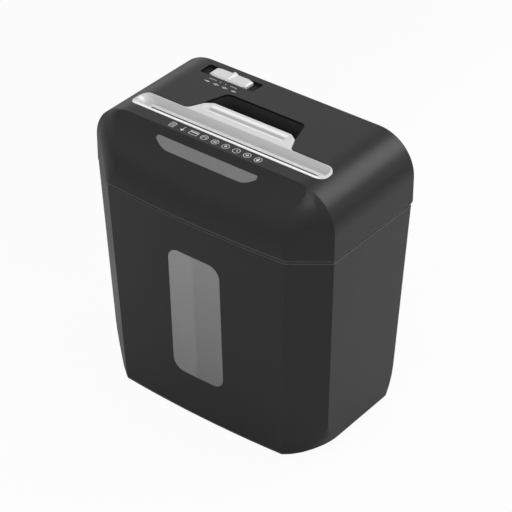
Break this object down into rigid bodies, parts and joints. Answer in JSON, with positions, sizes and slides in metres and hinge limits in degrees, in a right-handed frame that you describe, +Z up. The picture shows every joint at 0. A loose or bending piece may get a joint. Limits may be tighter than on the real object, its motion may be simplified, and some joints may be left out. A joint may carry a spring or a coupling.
{
  "type": "paper shredder",
  "caption": "Small office paper shredder: black arched head with silver paper throat, lifting grip and slide switch, on a tapered waste bin with a smoky window.",
  "frame": {"origin": "on the floor under the middle of the part", "axes": "+X the user's right, +Y the back, +Z up"},
  "size_m": [0.3104, 0.1724, 0.3424],
  "materials": {
    "black_plastic": "fine satin grain",
    "deck_plastic": "matte",
    "well_plastic": "matte",
    "smoke_window": "smoky clear plastic, smooth",
    "silver_plastic": "silver satin paint",
    "badge_grey": "satin paint",
    "foot_rubber": "matte",
    "zinc_steel": "zinc plated",
    "cutter_steel": "ground, oiled",
    "bush_bronze": "sintered",
    "gear_nylon": "moulded, satin",
    "comb_plastic": "moulded, matte",
    "motor_steel": "plated sheet",
    "motor_core": "laminated, varnished",
    "magnet_ferrite": "sintered, matte",
    "board_green": "lacquered laminate",
    "part_black": "moulded",
    "relay_blue": "moulded"
  },
  "bodies": {
    "bin": {"bin_shell": "black_plastic", "bin_window": "smoke_window", "bin_feet": "foot_rubber"},
    "head": {"head_cover": "black_plastic", "throat_trim": "silver_plastic", "handle_well": "well_plastic", "badge_plate": "badge_grey", "switch_tray": "deck_plastic", "mode_switch": "part_black", "head_base": "deck_plastic", "cover_screws": "zinc_steel", "plate_screws": "zinc_steel", "frame_plate_left": "zinc_steel", "frame_plate_right": "zinc_steel", "tie_rods": "zinc_steel", "tie_nuts": "zinc_steel", "shaft_bushes": "bush_bronze", "front_stripper": "comb_plastic", "rear_stripper": "comb_plastic", "gear_pins": "zinc_steel", "gear_cover": "comb_plastic", "motor_can": "motor_steel", "motor_end_cap": "part_black", "motor_magnets": "magnet_ferrite", "motor_screws": "zinc_steel", "control_board": "board_green", "board_capacitor": "part_black", "board_relay": "relay_blue", "board_screws": "zinc_steel", "sensor_bracket": "zinc_steel", "paper_switch": "part_black", "bin_switch": "part_black", "cord_gland": "part_black"},
    "switch_knob": {"switch_knob": "silver_plastic"},
    "front_cutter": {"front_cutter_shaft": "cutter_steel", "front_cutter_discs": "cutter_steel", "front_sync_gear": "gear_nylon"},
    "rear_cutter": {"rear_cutter_shaft": "cutter_steel", "rear_cutter_discs": "cutter_steel", "rear_sync_gear": "gear_nylon", "final_gear": "gear_nylon"},
    "second_gear": {"second_gear": "gear_nylon"},
    "first_gear": {"first_gear": "gear_nylon"},
    "motor_rotor": {"motor_armature": "motor_core", "motor_shaft": "zinc_steel", "motor_pinion": "bush_bronze"},
    "paper_lever": {"paper_lever": "comb_plastic"},
    "bin_plunger": {"bin_plunger": "gear_nylon"}
  },
  "joints": [
    {"name": "head_lift", "type": "slide", "parent": "bin", "child": "head", "axis": [0, 0, 1], "range_m": [0, 0.15]},
    {"name": "mode_slide", "type": "slide", "parent": "head", "child": "switch_knob", "axis": [1, 0, 0], "range_m": [-0.0085, 0.0085]},
    {"name": "rear_cutter_spin", "type": "hinge", "parent": "head", "child": "rear_cutter", "pos_m": [0, -0.0013, 0.289], "axis": [1, 0, 0], "continuous": true},
    {"name": "front_cutter_spin", "type": "hinge", "parent": "head", "child": "front_cutter", "pos_m": [0, -0.0283, 0.289], "axis": [1, 0, 0], "continuous": true},
    {"name": "second_gear_spin", "type": "hinge", "parent": "head", "child": "second_gear", "pos_m": [0, 0.0242, 0.2993], "axis": [1, 0, 0], "continuous": true},
    {"name": "first_gear_spin", "type": "hinge", "parent": "head", "child": "first_gear", "pos_m": [0, 0.03779, 0.282], "axis": [1, 0, 0], "continuous": true},
    {"name": "motor_spin", "type": "hinge", "parent": "head", "child": "motor_rotor", "pos_m": [0, 0.055, 0.2885], "axis": [1, 0, 0], "continuous": true},
    {"name": "paper_lever_tilt", "type": "hinge", "parent": "head", "child": "paper_lever", "pos_m": [0.08, -0.0021, 0.312], "axis": [1, 0, 0], "range_deg": [0, 20], "stiffness_Nm_per_rad": 0.002, "springref_deg": -11.46},
    {"name": "bin_plunger_press", "type": "slide", "parent": "head", "child": "bin_plunger", "axis": [0, 0, 1], "range_m": [0, 0.0025], "stiffness_N_per_m": 400, "springref_m": -0.002}
  ],
  "couplings": [
    {"joint": "front_cutter_spin", "follows": "rear_cutter_spin", "ratio": -1},
    {"joint": "second_gear_spin", "follows": "rear_cutter_spin", "ratio": -3},
    {"joint": "first_gear_spin", "follows": "rear_cutter_spin", "ratio": 10.2},
    {"joint": "motor_spin", "follows": "rear_cutter_spin", "ratio": -36.72}
  ]
}
